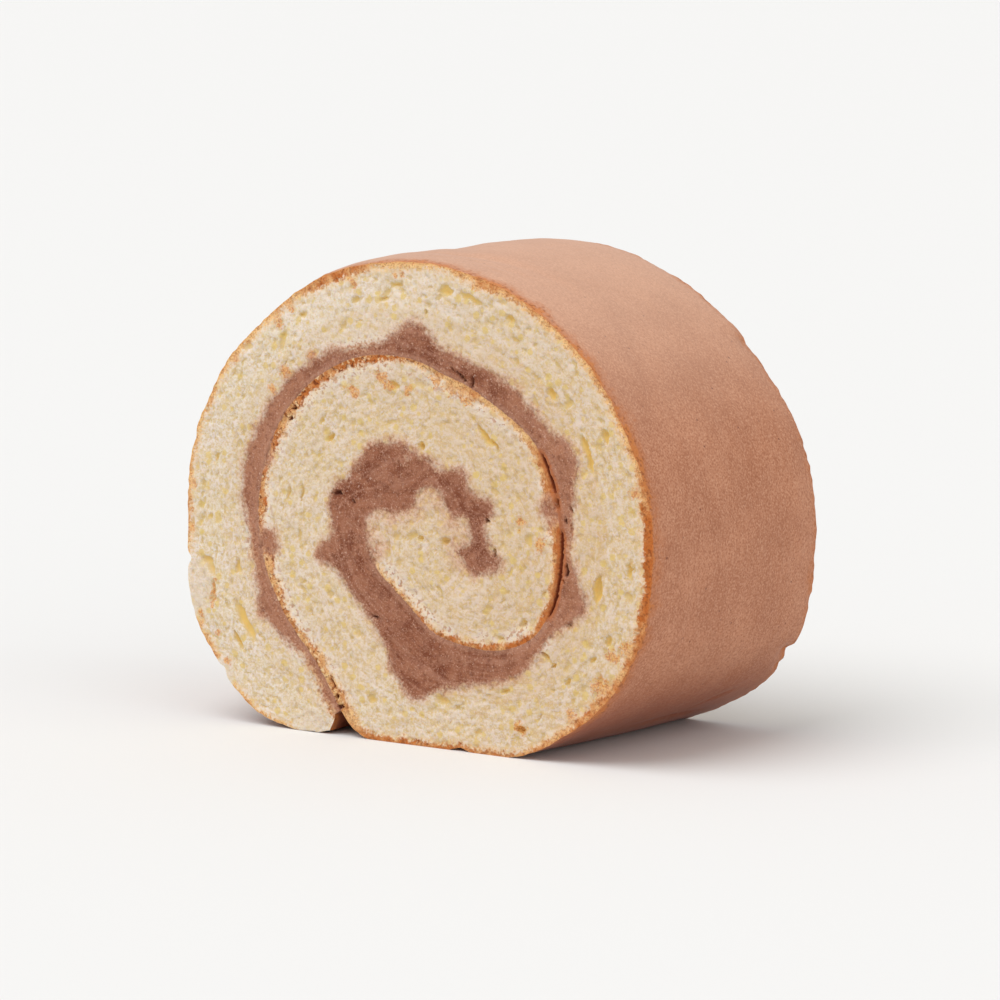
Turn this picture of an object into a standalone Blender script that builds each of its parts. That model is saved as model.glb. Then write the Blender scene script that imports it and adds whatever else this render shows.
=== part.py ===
"""A short swiss roll cake: one sheet of pale sponge, browned on its outer face, wound round brown cream.

Metres, +Z up. The roll lies along Y and rests on its flattened underside. The cut face that shows the
loose end of the sheet at its lower left looks towards -Y, and both ends are cut square. The origin is
on the floor, under the middle of the roll.

Each cut is drawn as a winding about a hub. A winding angle of 0 points straight down, 90 to -X, 180 up
and 270 to +X, and it goes on past 360 into the inner turns. The sheet's browned face and its pale inner
face are each a radius at a winding angle, and the cream fills what lies between one turn and the next.
"""

import bisect
import math

import bpy

ROLL_LENGTH = 0.044
HALF_WIDTH = 0.045
ROLL_HEIGHT = 0.077
HUB_HEIGHT = 0.034

# The sheet's loose end, the cream's two ends and the end of the sheet in the middle, in degrees.
LOOSE_END = 26.5
CREAM_START = 391
WOUND_END = 1014
BROWN_END = 777
DEGREES_PER_STEP = 5

# Clear space between the sponge and the cream, and the thinnest that their seam gets.
CREAM_GAP = 0.0003
THINNEST_SEAM = 0.0012

# How much the far end has settled: it is wider, a little higher on top and lower at its sides.
SECTIONS = 9
FAR_WIDENING = 0.077
FAR_RISE = 0.0006
FAR_SAG = 0.0021
FAR_RIGHT_SAG = 0.0025
RIGHT_SAG_START = 0.005
# The knife drew both cut edges in, and the sponge swells out again behind them.
CUT_PINCH = 0.0009
PINCH_REACH = 0.005
# The cream runs thicker and thinner along the roll.
CREAM_DRIFT = 0.0007
DRIFT_WAVES_PER_TURN = 2.3

# The browned face: winding angle and radius. Past BROWN_END it is the bare inner end of the sheet.
BROWNED_FACE = (
    (26.5, 0.0373), (31, 0.0394), (45, 0.0442), (60, 0.0456), (75, 0.0459), (90, 0.0450),
    (105, 0.0452), (120, 0.0447), (140, 0.0431), (155, 0.0427), (180, 0.0430), (210, 0.0431),
    (240, 0.0438), (270, 0.0445), (285, 0.0445), (300, 0.0435), (315, 0.0412), (330, 0.0391),
    (345, 0.0365), (360, 0.0360), (375, 0.0352), (382, 0.0343), (390, 0.0318), (405, 0.0293),
    (420, 0.0297), (450, 0.0311), (480, 0.0309), (510, 0.0300), (540, 0.0278), (555, 0.0263),
    (570, 0.0263), (600, 0.0281), (645, 0.0280), (660, 0.0273), (675, 0.0242), (690, 0.0198),
    (705, 0.0164), (720, 0.0127), (735, 0.0106), (750, 0.0098), (777, 0.0096), (820, 0.0096),
    (838, 0.0072), (855, 0.0046), (880, 0.0044), (900, 0.0048), (912, 0.0076), (925, 0.0086),
    (962, 0.0079), (975, 0.0104), (990, 0.0108), (1006, 0.0087), (1014, 0.0130),
)

# The pale inner face, which is the cream's outer face one turn further in.
PALE_FACE = (
    (390, 0.0340), (405, 0.0308), (425, 0.0334), (437, 0.0325), (460, 0.0346), (480, 0.0339),
    (500, 0.0333), (525, 0.0302), (541, 0.0330), (553, 0.0295), (580, 0.0308), (592, 0.0308),
    (604, 0.0340), (614, 0.0314), (632, 0.0295), (645, 0.0333), (660, 0.0290), (670, 0.0292),
    (690, 0.0261), (705, 0.0251), (720, 0.0263), (735, 0.0206), (750, 0.0169), (765, 0.0163),
    (785, 0.0170), (795, 0.0194), (807, 0.0158), (828, 0.0171), (848, 0.0150), (870, 0.0156),
    (885, 0.0147), (905, 0.0122), (925, 0.0116), (942, 0.0138), (955, 0.0130), (969, 0.0165),
    (981, 0.0137), (991, 0.0141), (1003, 0.0168), (1014, 0.0134),
)

# Base colours, roughness: the browned outside, the pale crumb and the cream.
BROWNED_SKIN = ((0.58, 0.31, 0.17), 0.62)
PALE_CRUMB = ((0.84, 0.74, 0.52), 0.85)
BROWN_CREAM = ((0.30, 0.16, 0.11), 0.60)


def clear_scene():
    for thing in list(bpy.data.objects):
        bpy.data.objects.remove(thing, do_unlink=True)


def food_material(name, colour, roughness):
    material = bpy.data.materials.new(name)
    material.use_nodes = True
    shader = material.node_tree.nodes["Principled BSDF"]
    shader.inputs["Base Color"].default_value = (*colour, 1)
    shader.inputs["Roughness"].default_value = roughness
    shader.inputs["Metallic"].default_value = 0
    material.diffuse_color = (*colour, 1)
    return material


def station_slopes(stations):
    """Slopes that keep the curve between its stations: flat at each peak and dip."""
    rises = [(r1 - r0) / (a1 - a0) for (a0, r0), (a1, r1) in zip(stations, stations[1:])]
    inner = [2 * a * b / (a + b) if a * b > 0 else 0.0 for a, b in zip(rises, rises[1:])]
    return [rises[0], *inner, rises[-1]]


def radius_at(stations, slopes, degrees):
    """The radius at a winding angle, on a smooth curve through the stations."""
    angles = [angle for angle, _ in stations]
    after = min(max(bisect.bisect_right(angles, degrees), 1), len(stations) - 1)
    (start, r0), (end, r1) = stations[after - 1 : after + 1]
    span = end - start
    t = min(max((degrees - start) / span, 0), 1)
    lead = (1 + 2 * t) * (1 - t) ** 2 * r0 + t * (1 - t) ** 2 * span * slopes[after - 1]
    return lead + t * t * (3 - 2 * t) * r1 + t * t * (t - 1) * span * slopes[after]


BROWNED_SLOPES = station_slopes(BROWNED_FACE)
PALE_SLOPES = station_slopes(PALE_FACE)


def browned_radius(degrees):
    return radius_at(BROWNED_FACE, BROWNED_SLOPES, degrees)


def pale_radius(degrees, along):
    """The pale face's radius, which drifts in and out towards the far end and never closes the seam."""
    wave = math.sin(math.radians(DRIFT_WAVES_PER_TURN * degrees))
    drifted = radius_at(PALE_FACE, PALE_SLOPES, degrees) + CREAM_DRIFT * along * wave
    seam = THINNEST_SEAM if degrees < WOUND_END - DEGREES_PER_STEP else 0
    return max(drifted, browned_radius(degrees) + seam)


def wound_point(degrees, radius):
    turn = math.radians(degrees)
    return -radius * math.sin(turn), HUB_HEIGHT - radius * math.cos(turn)


def winding_angles(start, end):
    steps = math.ceil((end - start) / DEGREES_PER_STEP)
    return [start + (end - start) * i / steps for i in range(steps + 1)]


def seam_lines(start, along):
    """The two sides of the cream's place, from a winding angle to the end of the sheet."""
    angles = winding_angles(start, WOUND_END)
    inner = [wound_point(a, browned_radius(a)) for a in angles]
    outer = [wound_point(a, pale_radius(a, along)) for a in angles]
    return inner, outer


def sponge_outline(along):
    """The sheet's cut: along its browned face to the middle, back along its pale face, round the loose end.

    Returns the points, and for each the side that it starts: browned or pale.
    """
    one_turn_in = LOOSE_END + 360
    browned = winding_angles(LOOSE_END, one_turn_in)[:-1] + winding_angles(one_turn_in, WOUND_END)
    points = [wound_point(a, browned_radius(a)) for a in browned]
    is_browned = [a < BROWN_END for a in browned]
    _, outer = seam_lines(CREAM_START, along)
    points += outer[-2::-1]
    is_browned += [False] * (len(points) - len(is_browned))

    tip, corner = points[0], points[-1]
    middle = ((tip[0] + corner[0]) / 2, (tip[1] + corner[1]) / 2)
    bulge = math.dist(tip, corner) / 2
    points.append((middle[0] + 0.6 * bulge, middle[1] + 0.3 * bulge))
    is_browned.append(False)
    return points, is_browned


def inset(points, distance):
    """A closed outline moved in by a distance. The outline runs clockwise, seen from -Y."""
    moved = []
    for i, (x, z) in enumerate(points):
        (x0, z0), (x1, z1) = points[i - 1], points[(i + 1) % len(points)]
        before = ((z - z0), (x0 - x))
        after = ((z1 - z), (x - x1))
        first = math.hypot(*before)
        second = math.hypot(*after)
        nx = before[0] / first + after[0] / second
        nz = before[1] / first + after[1] / second
        length = math.hypot(nx, nz)
        reach = distance * min(2 / length, 2.5)
        moved.append((x + nx / length * reach, z + nz / length * reach))
    return moved


def cream_outline(along):
    inner, outer = seam_lines(CREAM_START, along)
    return inset(outer[:-1] + inner[::-1], CREAM_GAP)


def settled(x, z, along):
    """Where a point of the near cut lies at a fraction of the way along the roll."""
    level = min(max(z / ROLL_HEIGHT, 0), 1)
    to_right = min(max((x - RIGHT_SAG_START) / (HALF_WIDTH - RIGHT_SAG_START), 0), 1)
    low = max(1 - 1.6 * level, 0)
    sag = FAR_SAG * math.sin(math.pi * level) + FAR_RIGHT_SAG * to_right * low
    z += along * (FAR_RISE * level - sag)
    x *= 1 + FAR_WIDENING * along
    from_cut = min(along, 1 - along) * ROLL_LENGTH
    swell = 1 + CUT_PINCH / ROLL_HEIGHT * (1 - math.exp(-from_cut / PINCH_REACH))
    return x * swell, (along - 0.5) * ROLL_LENGTH, max(z, 0) * swell


def section_places():
    """How far along each section is: they crowd towards the two cuts."""
    return [0.5 - 0.5 * math.cos(math.pi * i / (SECTIONS - 1)) for i in range(SECTIONS)]


def middle_x():
    """The middle of the roll's width, over all its sections."""
    across = [settled(x, z, along)[0] for along in section_places() for x, z in sponge_outline(along)[0]]
    return (min(across) + max(across)) / 2


def roll_piece(name, outline_at, materials, second_material_sides):
    """A solid through the roll, with a flat cut at both ends.

    A side whose entry in second_material_sides is true takes the second material.
    """
    points = [settled(x, z, along) for along in section_places() for x, z in outline_at(along)]
    count = len(points) // SECTIONS

    faces = [tuple(range(count - 1, -1, -1)), tuple(range(len(points) - count, len(points)))]
    slots = [0, 0]
    for i in range(SECTIONS - 1):
        for j in range(count):
            a, b = i * count + j, i * count + (j + 1) % count
            faces.append((a, b, b + count, a + count))
            slots.append(int(second_material_sides[j]))

    mesh = bpy.data.meshes.new(name)
    mesh.from_pydata([(x - middle, y, z) for x, y, z in points], [], faces)
    for material in materials:
        mesh.materials.append(material)
    mesh.polygons.foreach_set("material_index", slots)
    mesh.polygons.foreach_set("use_smooth", [len(face) == 4 for face in faces])
    mesh.set_sharp_from_angle(angle=math.radians(50))
    mesh.update()
    piece = bpy.data.objects.new(name, mesh)
    roll.objects.link(piece)
    return piece


clear_scene()
roll = bpy.data.collections.new("swiss_roll")
bpy.context.scene.collection.children.link(roll)

crumb = food_material("pale_crumb", *PALE_CRUMB)
skin = food_material("browned_skin", *BROWNED_SKIN)
cream = food_material("brown_cream", *BROWN_CREAM)

middle = middle_x()
browned_sides = sponge_outline(0)[1]
roll_piece("sponge", lambda along: sponge_outline(along)[0], [crumb, skin], browned_sides)
roll_piece("cream", cream_outline, [cream], [False] * len(cream_outline(0)))
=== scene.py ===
"""The looks of the swiss roll cake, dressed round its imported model. Metres, +Z up.

Each cut face is one fine triangle mesh that the sponge and the cream share, so the two pieces meet point
to point with no gap. Its relief is drawn first as a map of depths: bubbles cut open by the knife, long
holes where the sheet bent, cracks beside the crust. The skin between the cuts has relief of its own.
"""

import itertools
import math

import bpy
import numpy as np
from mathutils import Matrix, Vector
from mathutils.geometry import delaunay_2d_cdt
from mathutils.kdtree import KDTree


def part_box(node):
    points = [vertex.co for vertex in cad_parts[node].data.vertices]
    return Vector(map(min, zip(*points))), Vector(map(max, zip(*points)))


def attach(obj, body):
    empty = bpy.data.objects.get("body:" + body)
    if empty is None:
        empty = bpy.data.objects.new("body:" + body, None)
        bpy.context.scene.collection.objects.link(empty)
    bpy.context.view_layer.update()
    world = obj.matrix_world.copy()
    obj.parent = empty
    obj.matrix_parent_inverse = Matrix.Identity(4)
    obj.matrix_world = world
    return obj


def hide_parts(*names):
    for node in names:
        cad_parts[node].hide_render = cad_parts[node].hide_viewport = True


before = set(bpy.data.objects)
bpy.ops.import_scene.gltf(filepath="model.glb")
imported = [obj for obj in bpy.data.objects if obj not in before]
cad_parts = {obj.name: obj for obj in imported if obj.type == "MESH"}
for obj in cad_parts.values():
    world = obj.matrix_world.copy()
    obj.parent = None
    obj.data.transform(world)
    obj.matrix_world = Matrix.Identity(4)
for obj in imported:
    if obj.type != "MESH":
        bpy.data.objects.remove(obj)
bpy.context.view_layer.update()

MM = 0.001
LOW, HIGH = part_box("sponge")
NEAR_Y, FAR_Y = LOW.y, HIGH.y
ROLL_LENGTH = FAR_Y - NEAR_Y
ROLL_HEIGHT = HIGH.z - LOW.z

# The hub that the sheet is wound about, at the near cut and at the lower far cut: x and z.
NEAR_HUB = (0.0003, 0.0340)
FAR_HUB = (0.0003, 0.0322)
# The cut edges are drawn in, and the sponge swells behind them, as in the model.
CUT_PINCH = 0.0009
PINCH_REACH = 0.005
# Winding, counted from straight below the hub, up to which the sheet's outer side is browned.
BROWN_END = math.radians(777)
# How far the cream has been pressed out into the gap under the loose end.
PRESSED_OUT = 0.0028
# From the sheet's browned side to its middle, and the least radius of the turn that the middle makes.
SHEET_MIDDLE = 0.007
LEAST_RADIUS = 0.006
# The crust counts as this much farther from the cream, so that the cream's haze never crosses it.
BARRED = 0.008
CREVICE_DEPTH = 0.0006
# The orange band of the skin is this much narrower at the far cut, in mm.
FAR_RIM_THINNER = 0.8
# How far the outlines of the bubbles and of the stains are bent.
WOBBLE = 0.00034
STAIN_WOBBLE = 0.0008

# Spacing of the mesh on the near cut, the far cut, the skin and the hidden walls.
NEAR_GRID = 0.00036
FAR_GRID = 0.00055
SKIN_GRID = 0.00075
WALL_GRID = 0.0028
# How far the points of a cut's mesh are moved at random, in spacings of it.
GRID_JITTER = 0.22
# Spacing of the map of depths, and how far it goes past the cut.
RELIEF_PITCH = 0.0001
MARGIN = 0.003

# The camera, fitted to the photo's outline: degrees, metres, and millimetres for the lens.
CAMERA_AZIMUTH, CAMERA_ELEVATION = 34.07, 7.87
CAMERA_DISTANCE = 0.7254
LOOKED_AT = Vector((0.00341, NEAR_Y + 0.01973, 0.03738))
LENS = 162

# Holes that show on the near cut: x, z, half length, half width and depth in mm, and the tilt of the long
# side in degrees from level.
HOLES = (
    (6.6, 72.9, 1.5, 0.65, 0.7, -6), (11.3, 71.9, 2.5, 0.6, 0.6, -22), (18.6, 69.1, 0.9, 0.5, 0.7, -30),
    (26.2, 58.0, 1.1, 0.6, 0.8, -50), (36.3, 52.0, 0.6, 1.2, 0.8, 10), (14.3, 50.3, 2.9, 0.5, 0.9, -40),
    (32.8, 49.0, 3.6, 0.5, 0.9, -68), (35.0, 28.2, 2.2, 0.8, 1.1, 84), (1.7, 48.2, 0.8, 0.6, 1.0, 70),
    (-16.0, 48.4, 0.8, 0.6, 0.8, 60), (-17.6, 50.7, 0.5, 0.4, 0.6, 30),
    (-33.3, 16.8, 3.7, 0.95, 0.7, -57), (-40.5, 25.5, 1.3, 0.7, 0.5, -60),
    (-34.8, 13.6, 1.7, 0.45, 0.7, -60), (-39.6, 21.4, 3.0, 0.22, 0.5, -88),
    (-41.0, 26.4, 1.3, 0.6, 0.6, -10), (-40.3, 24.8, 1.4, 0.45, 0.6, -72), (20.7, 4.9, 0.8, 0.6, 1.0, 0),
    (-3.2, 73.2, 1.4, 0.45, 0.6, 4), (-5.5, 70.9, 0.9, 0.45, 0.6, 10), (-10.8, 70.6, 0.7, 0.7, 0.5, 0),
    (-21.4, 67.5, 1.0, 0.45, 0.6, 25), (-25.0, 64.1, 0.6, 0.4, 0.6, 20),
    (-39.0, 43.5, 0.9, 0.35, 0.6, 80), (-3.4, 57.6, 1.1, 0.45, 0.7, -18), (6.3, 33.3, 1.0, 0.7, 0.9, 20),
    (1.5, 33.1, 0.6, 0.45, 0.7, 0), (40.6, 31.5, 1.5, 0.45, 0.8, 84), (17.7, 10.7, 0.9, 0.4, 0.7, 20),
    (8.9, 6.9, 0.7, 0.35, 0.6, 0), (29.3, 13.1, 0.9, 0.5, 0.7, 60), (36.8, 20.4, 1.0, 0.5, 0.7, 70),
    (33.9, 17.0, 0.8, 0.5, 0.7, 50), (20.9, 21.4, 0.9, 0.6, 0.8, 30), (16.6, 19.0, 0.8, 0.35, 0.6, 0),
    (2.6, 69.3, 0.45, 0.35, 0.6, 0), (25.0, 26.5, 0.6, 0.35, 0.6, 70), (-34.9, 25.9, 1.6, 0.45, 0.6, 82),
    (-24.2, 38.7, 1.6, 0.3, 0.5, 88), (-21.7, 38.9, 1.5, 0.35, 0.5, 86), (19.4, 65.9, 0.9, 0.5, 0.5, -20),
)
# Cracks between the cream and the crust, and dark pits in the crust: the same measures.
CRACKS = (
    (-23.1, 52.4, 0.5, 0.35, 1.0, 60), (-24.0, 50.8, 0.6, 0.4, 1.1, 60), (9.2, 59.6, 1.6, 0.3, 0.8, -36),
    (7.2, 60.9, 0.8, 0.25, 0.6, -50), (11.2, 58.6, 0.25, 1.0, 0.7, -8), (27.5, 40.7, 0.9, 0.4, 0.8, -70),
    (29.1, 38.3, 0.8, 0.2, 0.7, -80), (29.4, 31.0, 1.5, 0.25, 0.9, 80), (28.4, 29.2, 0.8, 0.25, 0.7, -50),
    (30.2, 40.2, 0.7, 0.2, 0.6, -60), (25.4, 16.7, 0.9, 0.35, 0.8, -40), (26.6, 15.4, 0.6, 0.3, 0.7, 30),
    (15.8, 32.4, 0.9, 0.2, 0.9, -60), (14.3, 37.4, 0.5, 0.3, 0.9, -50),
    (-14.5, 39.3, 0.9, 0.35, 1.0, -10), (-11.7, 37.8, 0.6, 0.25, 0.8, -70),
    (-7.4, 20.0, 0.7, 0.25, 0.6, -15), (-15.7, 8.4, 1.4, 0.24, 1.0, -56), (-15.0, 6.3, 0.7, 0.3, 1.1, 77),
    (-14.1, 4.7, 0.5, 0.4, 1.0, 0),
)
# Where the browning has run into the crumb: x, z and reach in mm.
STAINS = (
    (-24.0, 68.3, 0.9), (-26.6, 66.3, 1.0), (-34.8, 60.3, 1.1), (-11.5, 73.5, 0.8), (-3.8, 74.9, 0.6),
    (-1.8, 75.2, 0.5), (-11.9, 56.4, 0.8), (-11.4, 55.4, 0.7), (-5.9, 58.4, 1.0), (-4.6, 57.4, 0.9),
    (-0.6, 56.5, 0.8), (-24.6, 57.8, 1.1), (-27.2, 55.0, 1.0), (41.0, 18.8, 1.8), (36.5, 12.7, 1.8),
    (29.7, 7.9, 1.3), (20.7, 37.3, 1.1), (24.1, 34.0, 1.3), (41.8, 43.8, 1.2), (20.7, 4.9, 1.0),
    (-19.3, 60.9, 1.2), (-39.6, 22.8, 0.5), (-39.6, 21.8, 0.55), (-39.6, 20.8, 0.55), (-39.7, 19.8, 0.55),
    (-39.9, 18.6, 0.6), (-42.6, 17.4, 0.9), (-42.2, 15.9, 0.8), (-39.3, 14.3, 0.6), (7.5, 57.6, 1.3),
    (10.3, 56.9, 1.4), (8.8, 58.6, 1.1), (4.6, 58.6, 0.9), (12.6, 74.0, 1.1), (37.6, 18.0, 1.4),
    (35.4, 12.9, 1.5), (-43.6, 39.1, 0.9), (-44.6, 31.1, 0.7), (-36.9, 9.8, 0.7),
)
# Where the cream has pressed over the crust: x, z and reach in mm.
CREAM_OVER = (
    (-28.5, 30.6, 2.0), (26.2, 39.6, 1.5), (-29.0, 43.6, 0.8),
)
# Where the cream's soft edge has drawn back, or with a minus spread: x, z, reach and distance in mm.
CREAM_EDGE = (
    (-17.6, 6.5, 5.5, 0.8), (-33.3, 33.0, 3.6, 0.9), (-31.6, 26.5, 2.6, 0.8), (-30.6, 19.0, 2.2, -0.7),
    (-1.8, 44.9, 1.5, 2.0), (-5.2, 31.2, 2.6, -1.9), (13.6, 41.4, 1.8, 1.0),
)
# Where the crust has come away at the near cut: x, z and reach in mm.
BARE = (
    (-44.4, 22.0, 5.0), (-37.8, 8.4, 2.0), (-19.5, 0.6, 3.4),
)
# The crust in section along the browned side, from the loose end inwards: x and z on the near cut, its
# width in mm and how dark it is baked.
CRUST = (
    (-22.0, 0.5, 0.4, 0.2), (-34.0, 5.0, 0.5, 0.3), (-39.5, 11.0, 0.5, 0.3), (-44.5, 32.0, 0.6, 0.4),
    (-43.5, 46.0, 0.7, 0.4), (-36.0, 60.0, 0.8, 0.35), (-25.0, 69.0, 0.8, 0.35), (-14.0, 75.5, 1.7, 0.8),
    (-3.0, 77.0, 0.9, 0.15), (6.0, 77.0, 0.8, 0.2), (12.5, 75.0, 1.3, 0.6), (20.5, 71.5, 0.8, 0.45),
    (28.0, 66.0, 0.8, 0.3), (36.0, 58.0, 0.9, 0.4), (41.0, 48.0, 0.9, 0.5), (43.5, 38.0, 1.5, 0.9),
    (43.5, 31.0, 1.7, 1.0), (42.0, 24.0, 1.5, 0.8), (38.5, 16.0, 1.1, 0.6), (34.0, 10.0, 1.3, 0.7),
    (27.0, 4.5, 0.8, 0.6), (18.0, 0.6, 0.7, 0.65), (5.0, 0.3, 0.7, 0.8), (-6.0, 0.6, 0.9, 0.85),
    (-12.0, 2.0, 1.4, 0.5), (-16.0, 7.0, 2.0, 0.5), (-17.5, 11.0, 1.8, 0.5), (-22.0, 16.5, 1.3, 0.65),
    (-26.0, 22.0, 1.7, 0.65), (-28.5, 27.5, 1.6, 0.6), (-29.8, 36.0, 1.6, 0.7), (-29.5, 43.0, 1.8, 0.7),
    (-26.5, 51.0, 1.7, 0.65), (-21.0, 57.0, 1.5, 0.75), (-13.0, 61.5, 1.3, 0.85), (-5.0, 62.5, 1.2, 0.85),
    (3.0, 61.0, 0.9, 0.45), (9.5, 58.5, 1.3, 0.6), (17.0, 55.0, 1.0, 0.4), (23.5, 49.0, 1.2, 0.5),
    (27.0, 42.0, 1.8, 0.75), (28.0, 33.0, 1.8, 0.7), (26.0, 26.0, 1.5, 0.6), (20.0, 20.0, 1.0, 0.8),
    (12.0, 17.0, 0.8, 0.8), (4.0, 18.0, 0.9, 0.75), (-4.0, 24.0, 0.9, 0.5), (-9.0, 30.0, 0.8, 0.35),
)
# The crevice between the inner turn's crust and the cream runs between these two places.
CREVICE = ((24.8, 49.7), (23.0, 23.8))
# Creases, dents and torn places of the skin: x and z on the near cut's outline, the distance from that cut,
# the reach round the roll and along it and the height, all in mm, and the turn in degrees.
# The underside is pressed flat by up to 1.2 mm, so a dent there shows only where it is deeper.
MARKS = (
    (-45.2, 22.3, 0.5, 3.4, 2.4, 0.5, 0), (-42.9, 16.5, 0.5, 4.6, 3.2, 1.15, 0),
    (-36.0, 8.5, 1.0, 11.0, 8.0, 0.65, 0), (-19.0, 73.0, 7.0, 10.0, 13.0, 1.2, 0),
    (42.0, 50.0, 40.0, 9.0, 8.0, 0.6, 0), (-34.0, 62.0, 2.0, 14.0, 12.0, 0.45, 0),
    (-44.9, 26.5, 0.0, 0.9, 1.6, -0.6, 0), (-37.9, 8.6, 0.0, 0.8, 1.4, -0.6, 0),
    (-42.0, 46.5, 0.0, 1.1, 1.2, -0.3, 0), (9.0, 0.2, 0.0, 3.1, 4.0, -1.6, 0),
    (7.5, 77.4, 9.5, 11.0, 4.2, -0.40, 0), (7.5, 77.4, 11.6, 11.0, 1.3, -0.30, 6),
    (-4.0, 77.9, 20.0, 9.0, 2.6, -0.55, 124), (6.5, 77.5, 7.6, 4.0, 0.45, -0.14, -5),
    (13.9, 75.9, 8.2, 3.5, 0.45, -0.14, 8), (11.0, 76.6, 5.2, 3.0, 0.4, -0.12, 0),
    (1.0, 78.0, 5.5, 4.0, 0.5, -0.12, 4), (32.0, 65.4, 42.4, 2.2, 2.6, 0.35, 0),
    (34.0, 63.6, 43.4, 0.8, 1.4, -0.3, 0), (44.0, 12.5, 43.0, 1.1, 2.0, -1.1, 0),
    (41.6, 10.0, 43.4, 0.9, 1.3, -0.6, 0), (35.3, 5.9, 33.2, 3.6, 0.6, -0.28, 125),
    (29.6, 2.9, 28.0, 8.0, 0.8, -0.40, 94), (40.0, 55.9, 21.0, 2.5, 0.7, -0.10, 60),
    (44.0, 40.0, 30.0, 5.0, 1.4, -0.12, 100), (-30.0, 68.0, 20.0, 7.0, 1.2, -0.25, 70),
    (-44.0, 45.0, 28.0, 6.0, 1.6, -0.25, 20), (-20.0, 73.0, 33.0, 9.0, 2.0, -0.30, 10),
)


# Smooth noise
NOISE_TABLE = np.random.default_rng(5).uniform(-1, 1, (48, 48, 48))


def noise(points, size, shift):
    """Smooth noise, about -1 to 1, with bumps of this size, at each (x, y, z)."""
    at = points / size + shift
    whole = np.floor(at).astype(int)
    part = at - whole
    part = part * part * (3 - 2 * part)
    total = 0
    for corner in itertools.product((0, 1), repeat=3):
        weight = np.where(corner, part, 1 - part).prod(axis=1)
        i, j, k = ((whole + corner) % len(NOISE_TABLE)).T
        total = total + weight * NOISE_TABLE[i, j, k]
    return total


def layers(points, *measures):
    """Noise in layers, each given by its height, the size of its bumps and its shift."""
    return sum(height * noise(points, size, shift) for height, size, shift in measures)


def line_layers(at, *measures):
    """The same along a line."""
    return layers(np.stack([at, at * 0, at * 0], axis=1), *measures)


def bent_by(flat, points, by, size, shifts):
    """The (x, z) points bent by noise at these (x, y, z) points."""
    return flat + by * np.stack([noise(points, size, shift) for shift in shifts], axis=1)


def rise(value, start, end):
    """0 up to start, 1 from end on, smooth between. It falls where start is over end."""
    t = np.clip((value - start) / (end - start), 0, 1)
    return t * t * (3 - 2 * t)


# The outlines of the cuts
def mesh_arrays(node):
    mesh = node.data
    mesh.calc_loop_triangles()
    points = np.empty(len(mesh.vertices) * 3, np.float32)
    mesh.vertices.foreach_get("co", points)
    triangles = np.empty(len(mesh.loop_triangles) * 3, np.int32)
    mesh.loop_triangles.foreach_get("vertices", triangles)
    return points.reshape(-1, 3).astype(float), triangles.reshape(-1, 3)


def cut_outline(name, y):
    """The outline of a node's flat cut at this y: (x, z) points, clockwise as seen from -Y."""
    points, triangles = mesh_arrays(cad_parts[name])
    same = 1e-5
    flat = triangles[(abs(points[triangles, 1] - y) < same).all(axis=1)]
    places, index = np.unique(np.round(points[:, [0, 2]] / same), axis=0, return_inverse=True)
    flat = index.reshape(-1)[flat]
    edges = {(int(a), int(b)) for t in flat for a, b in ((t[0], t[1]), (t[1], t[2]), (t[2], t[0]))}
    after = {a: b for a, b in edges if (b, a) not in edges}
    order = [min(after)]
    while after[order[-1]] != order[0]:
        order.append(after[order[-1]])
    outline = places[order] * same
    x, z = outline.T
    area = (x * np.roll(z, -1) - np.roll(x, -1) * z).sum()
    return outline[::-1] if area > 0 else outline


def winding(outline, hub):
    """How far round the hub each point is, unwound, from straight below it."""
    x, z = (outline - hub).T
    turned = np.unwrap(np.arctan2(-x, -z))
    return turned - 2 * math.pi * np.floor(turned.min() / (2 * math.pi))


def smooth_line(points, spacing):
    """Points at an even spacing on a smooth curve through the given ones."""
    at = np.concatenate([[0], np.cumsum(np.hypot(*np.diff(points, axis=0).T))])
    slopes = np.gradient(points, at, axis=0)
    want = np.linspace(0, at[-1], max(2, round(at[-1] / spacing) + 1))
    i = np.clip(np.searchsorted(at, want, side="right") - 1, 0, len(at) - 2)
    span = (at[i + 1] - at[i])[:, None]
    t = ((want - at[i])[:, None]) / span
    start = (1 + 2 * t) * (1 - t) ** 2 * points[i] + t * (1 - t) ** 2 * span * slopes[i]
    return start + t * t * (3 - 2 * t) * points[i + 1] + t * t * (t - 1) * span * slopes[i + 1]


def triangulate(places, faces):
    """Triangles that fill these faces, turned the same way round, and which faces each lies in."""
    made = delaunay_2d_cdt(places.tolist(), [], faces, 1, 1e-6, True)
    back = [origin[0] if origin else -1 for origin in made[3]]
    kept = [([back[i] for i in face], origin) for face, origin in zip(made[2], made[5]) if origin]
    triangles = np.array([face for face, _ in kept])
    corners = places[triangles]
    a, b = corners[:, 1] - corners[:, 0], corners[:, 2] - corners[:, 0]
    turned = a[:, 0] * b[:, 1] - a[:, 1] * b[:, 0] < 0
    triangles[turned] = triangles[turned][:, ::-1]
    return triangles, [origin for _, origin in kept]


def off_from(points, x, z):
    """How far (x, z) points in metres are from a place in mm, in mm."""
    return np.hypot(points[:, 0] / MM - x, points[:, 1] / MM - z)


def nearest(points, to):
    return int(np.argmin(np.hypot(*(points - to).T)))


def tree_of(points):
    tree = KDTree(len(points))
    for i, (x, z) in enumerate(points.tolist()):
        tree.insert((x, 0, z), i)
    tree.balance()
    return tree


def find_all(tree, points):
    """The nearest entry of the tree to each (x, z), and how far off it is."""
    found = [tree.find((x, 0, z)) for x, z in points.tolist()]
    return np.array([hit[1] for hit in found]), np.array([hit[2] for hit in found])


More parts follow.
